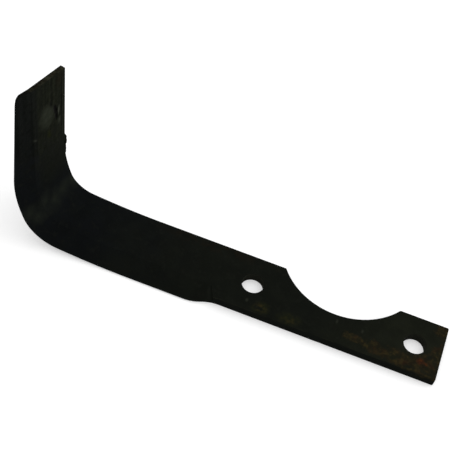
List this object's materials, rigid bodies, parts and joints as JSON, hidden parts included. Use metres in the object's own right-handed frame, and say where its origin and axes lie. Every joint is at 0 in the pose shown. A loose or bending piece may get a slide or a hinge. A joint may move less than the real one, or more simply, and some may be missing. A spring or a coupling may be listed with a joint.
{
  "type": "rotary tiller blade",
  "caption": "Rotary tiller blade: flat forged bar with bolt holes either side of a half-round notch, bent up into a bevelled cutting tip.",
  "frame": {"origin": "midway between the two bolt holes, on the face of the shank that rests on the rotor flange", "axes": "+X along the shank towards its square end, +Y towards the edge with the half-round notch, +Z along the bolts, the way the tip stands"},
  "size_m": [0.2605, 0.0581, 0.1369],
  "materials": {
    "blade_steel": "satin"
  },
  "bodies": {
    "root": {"tiller_blade": "blade_steel"}
  },
  "joints": []
}
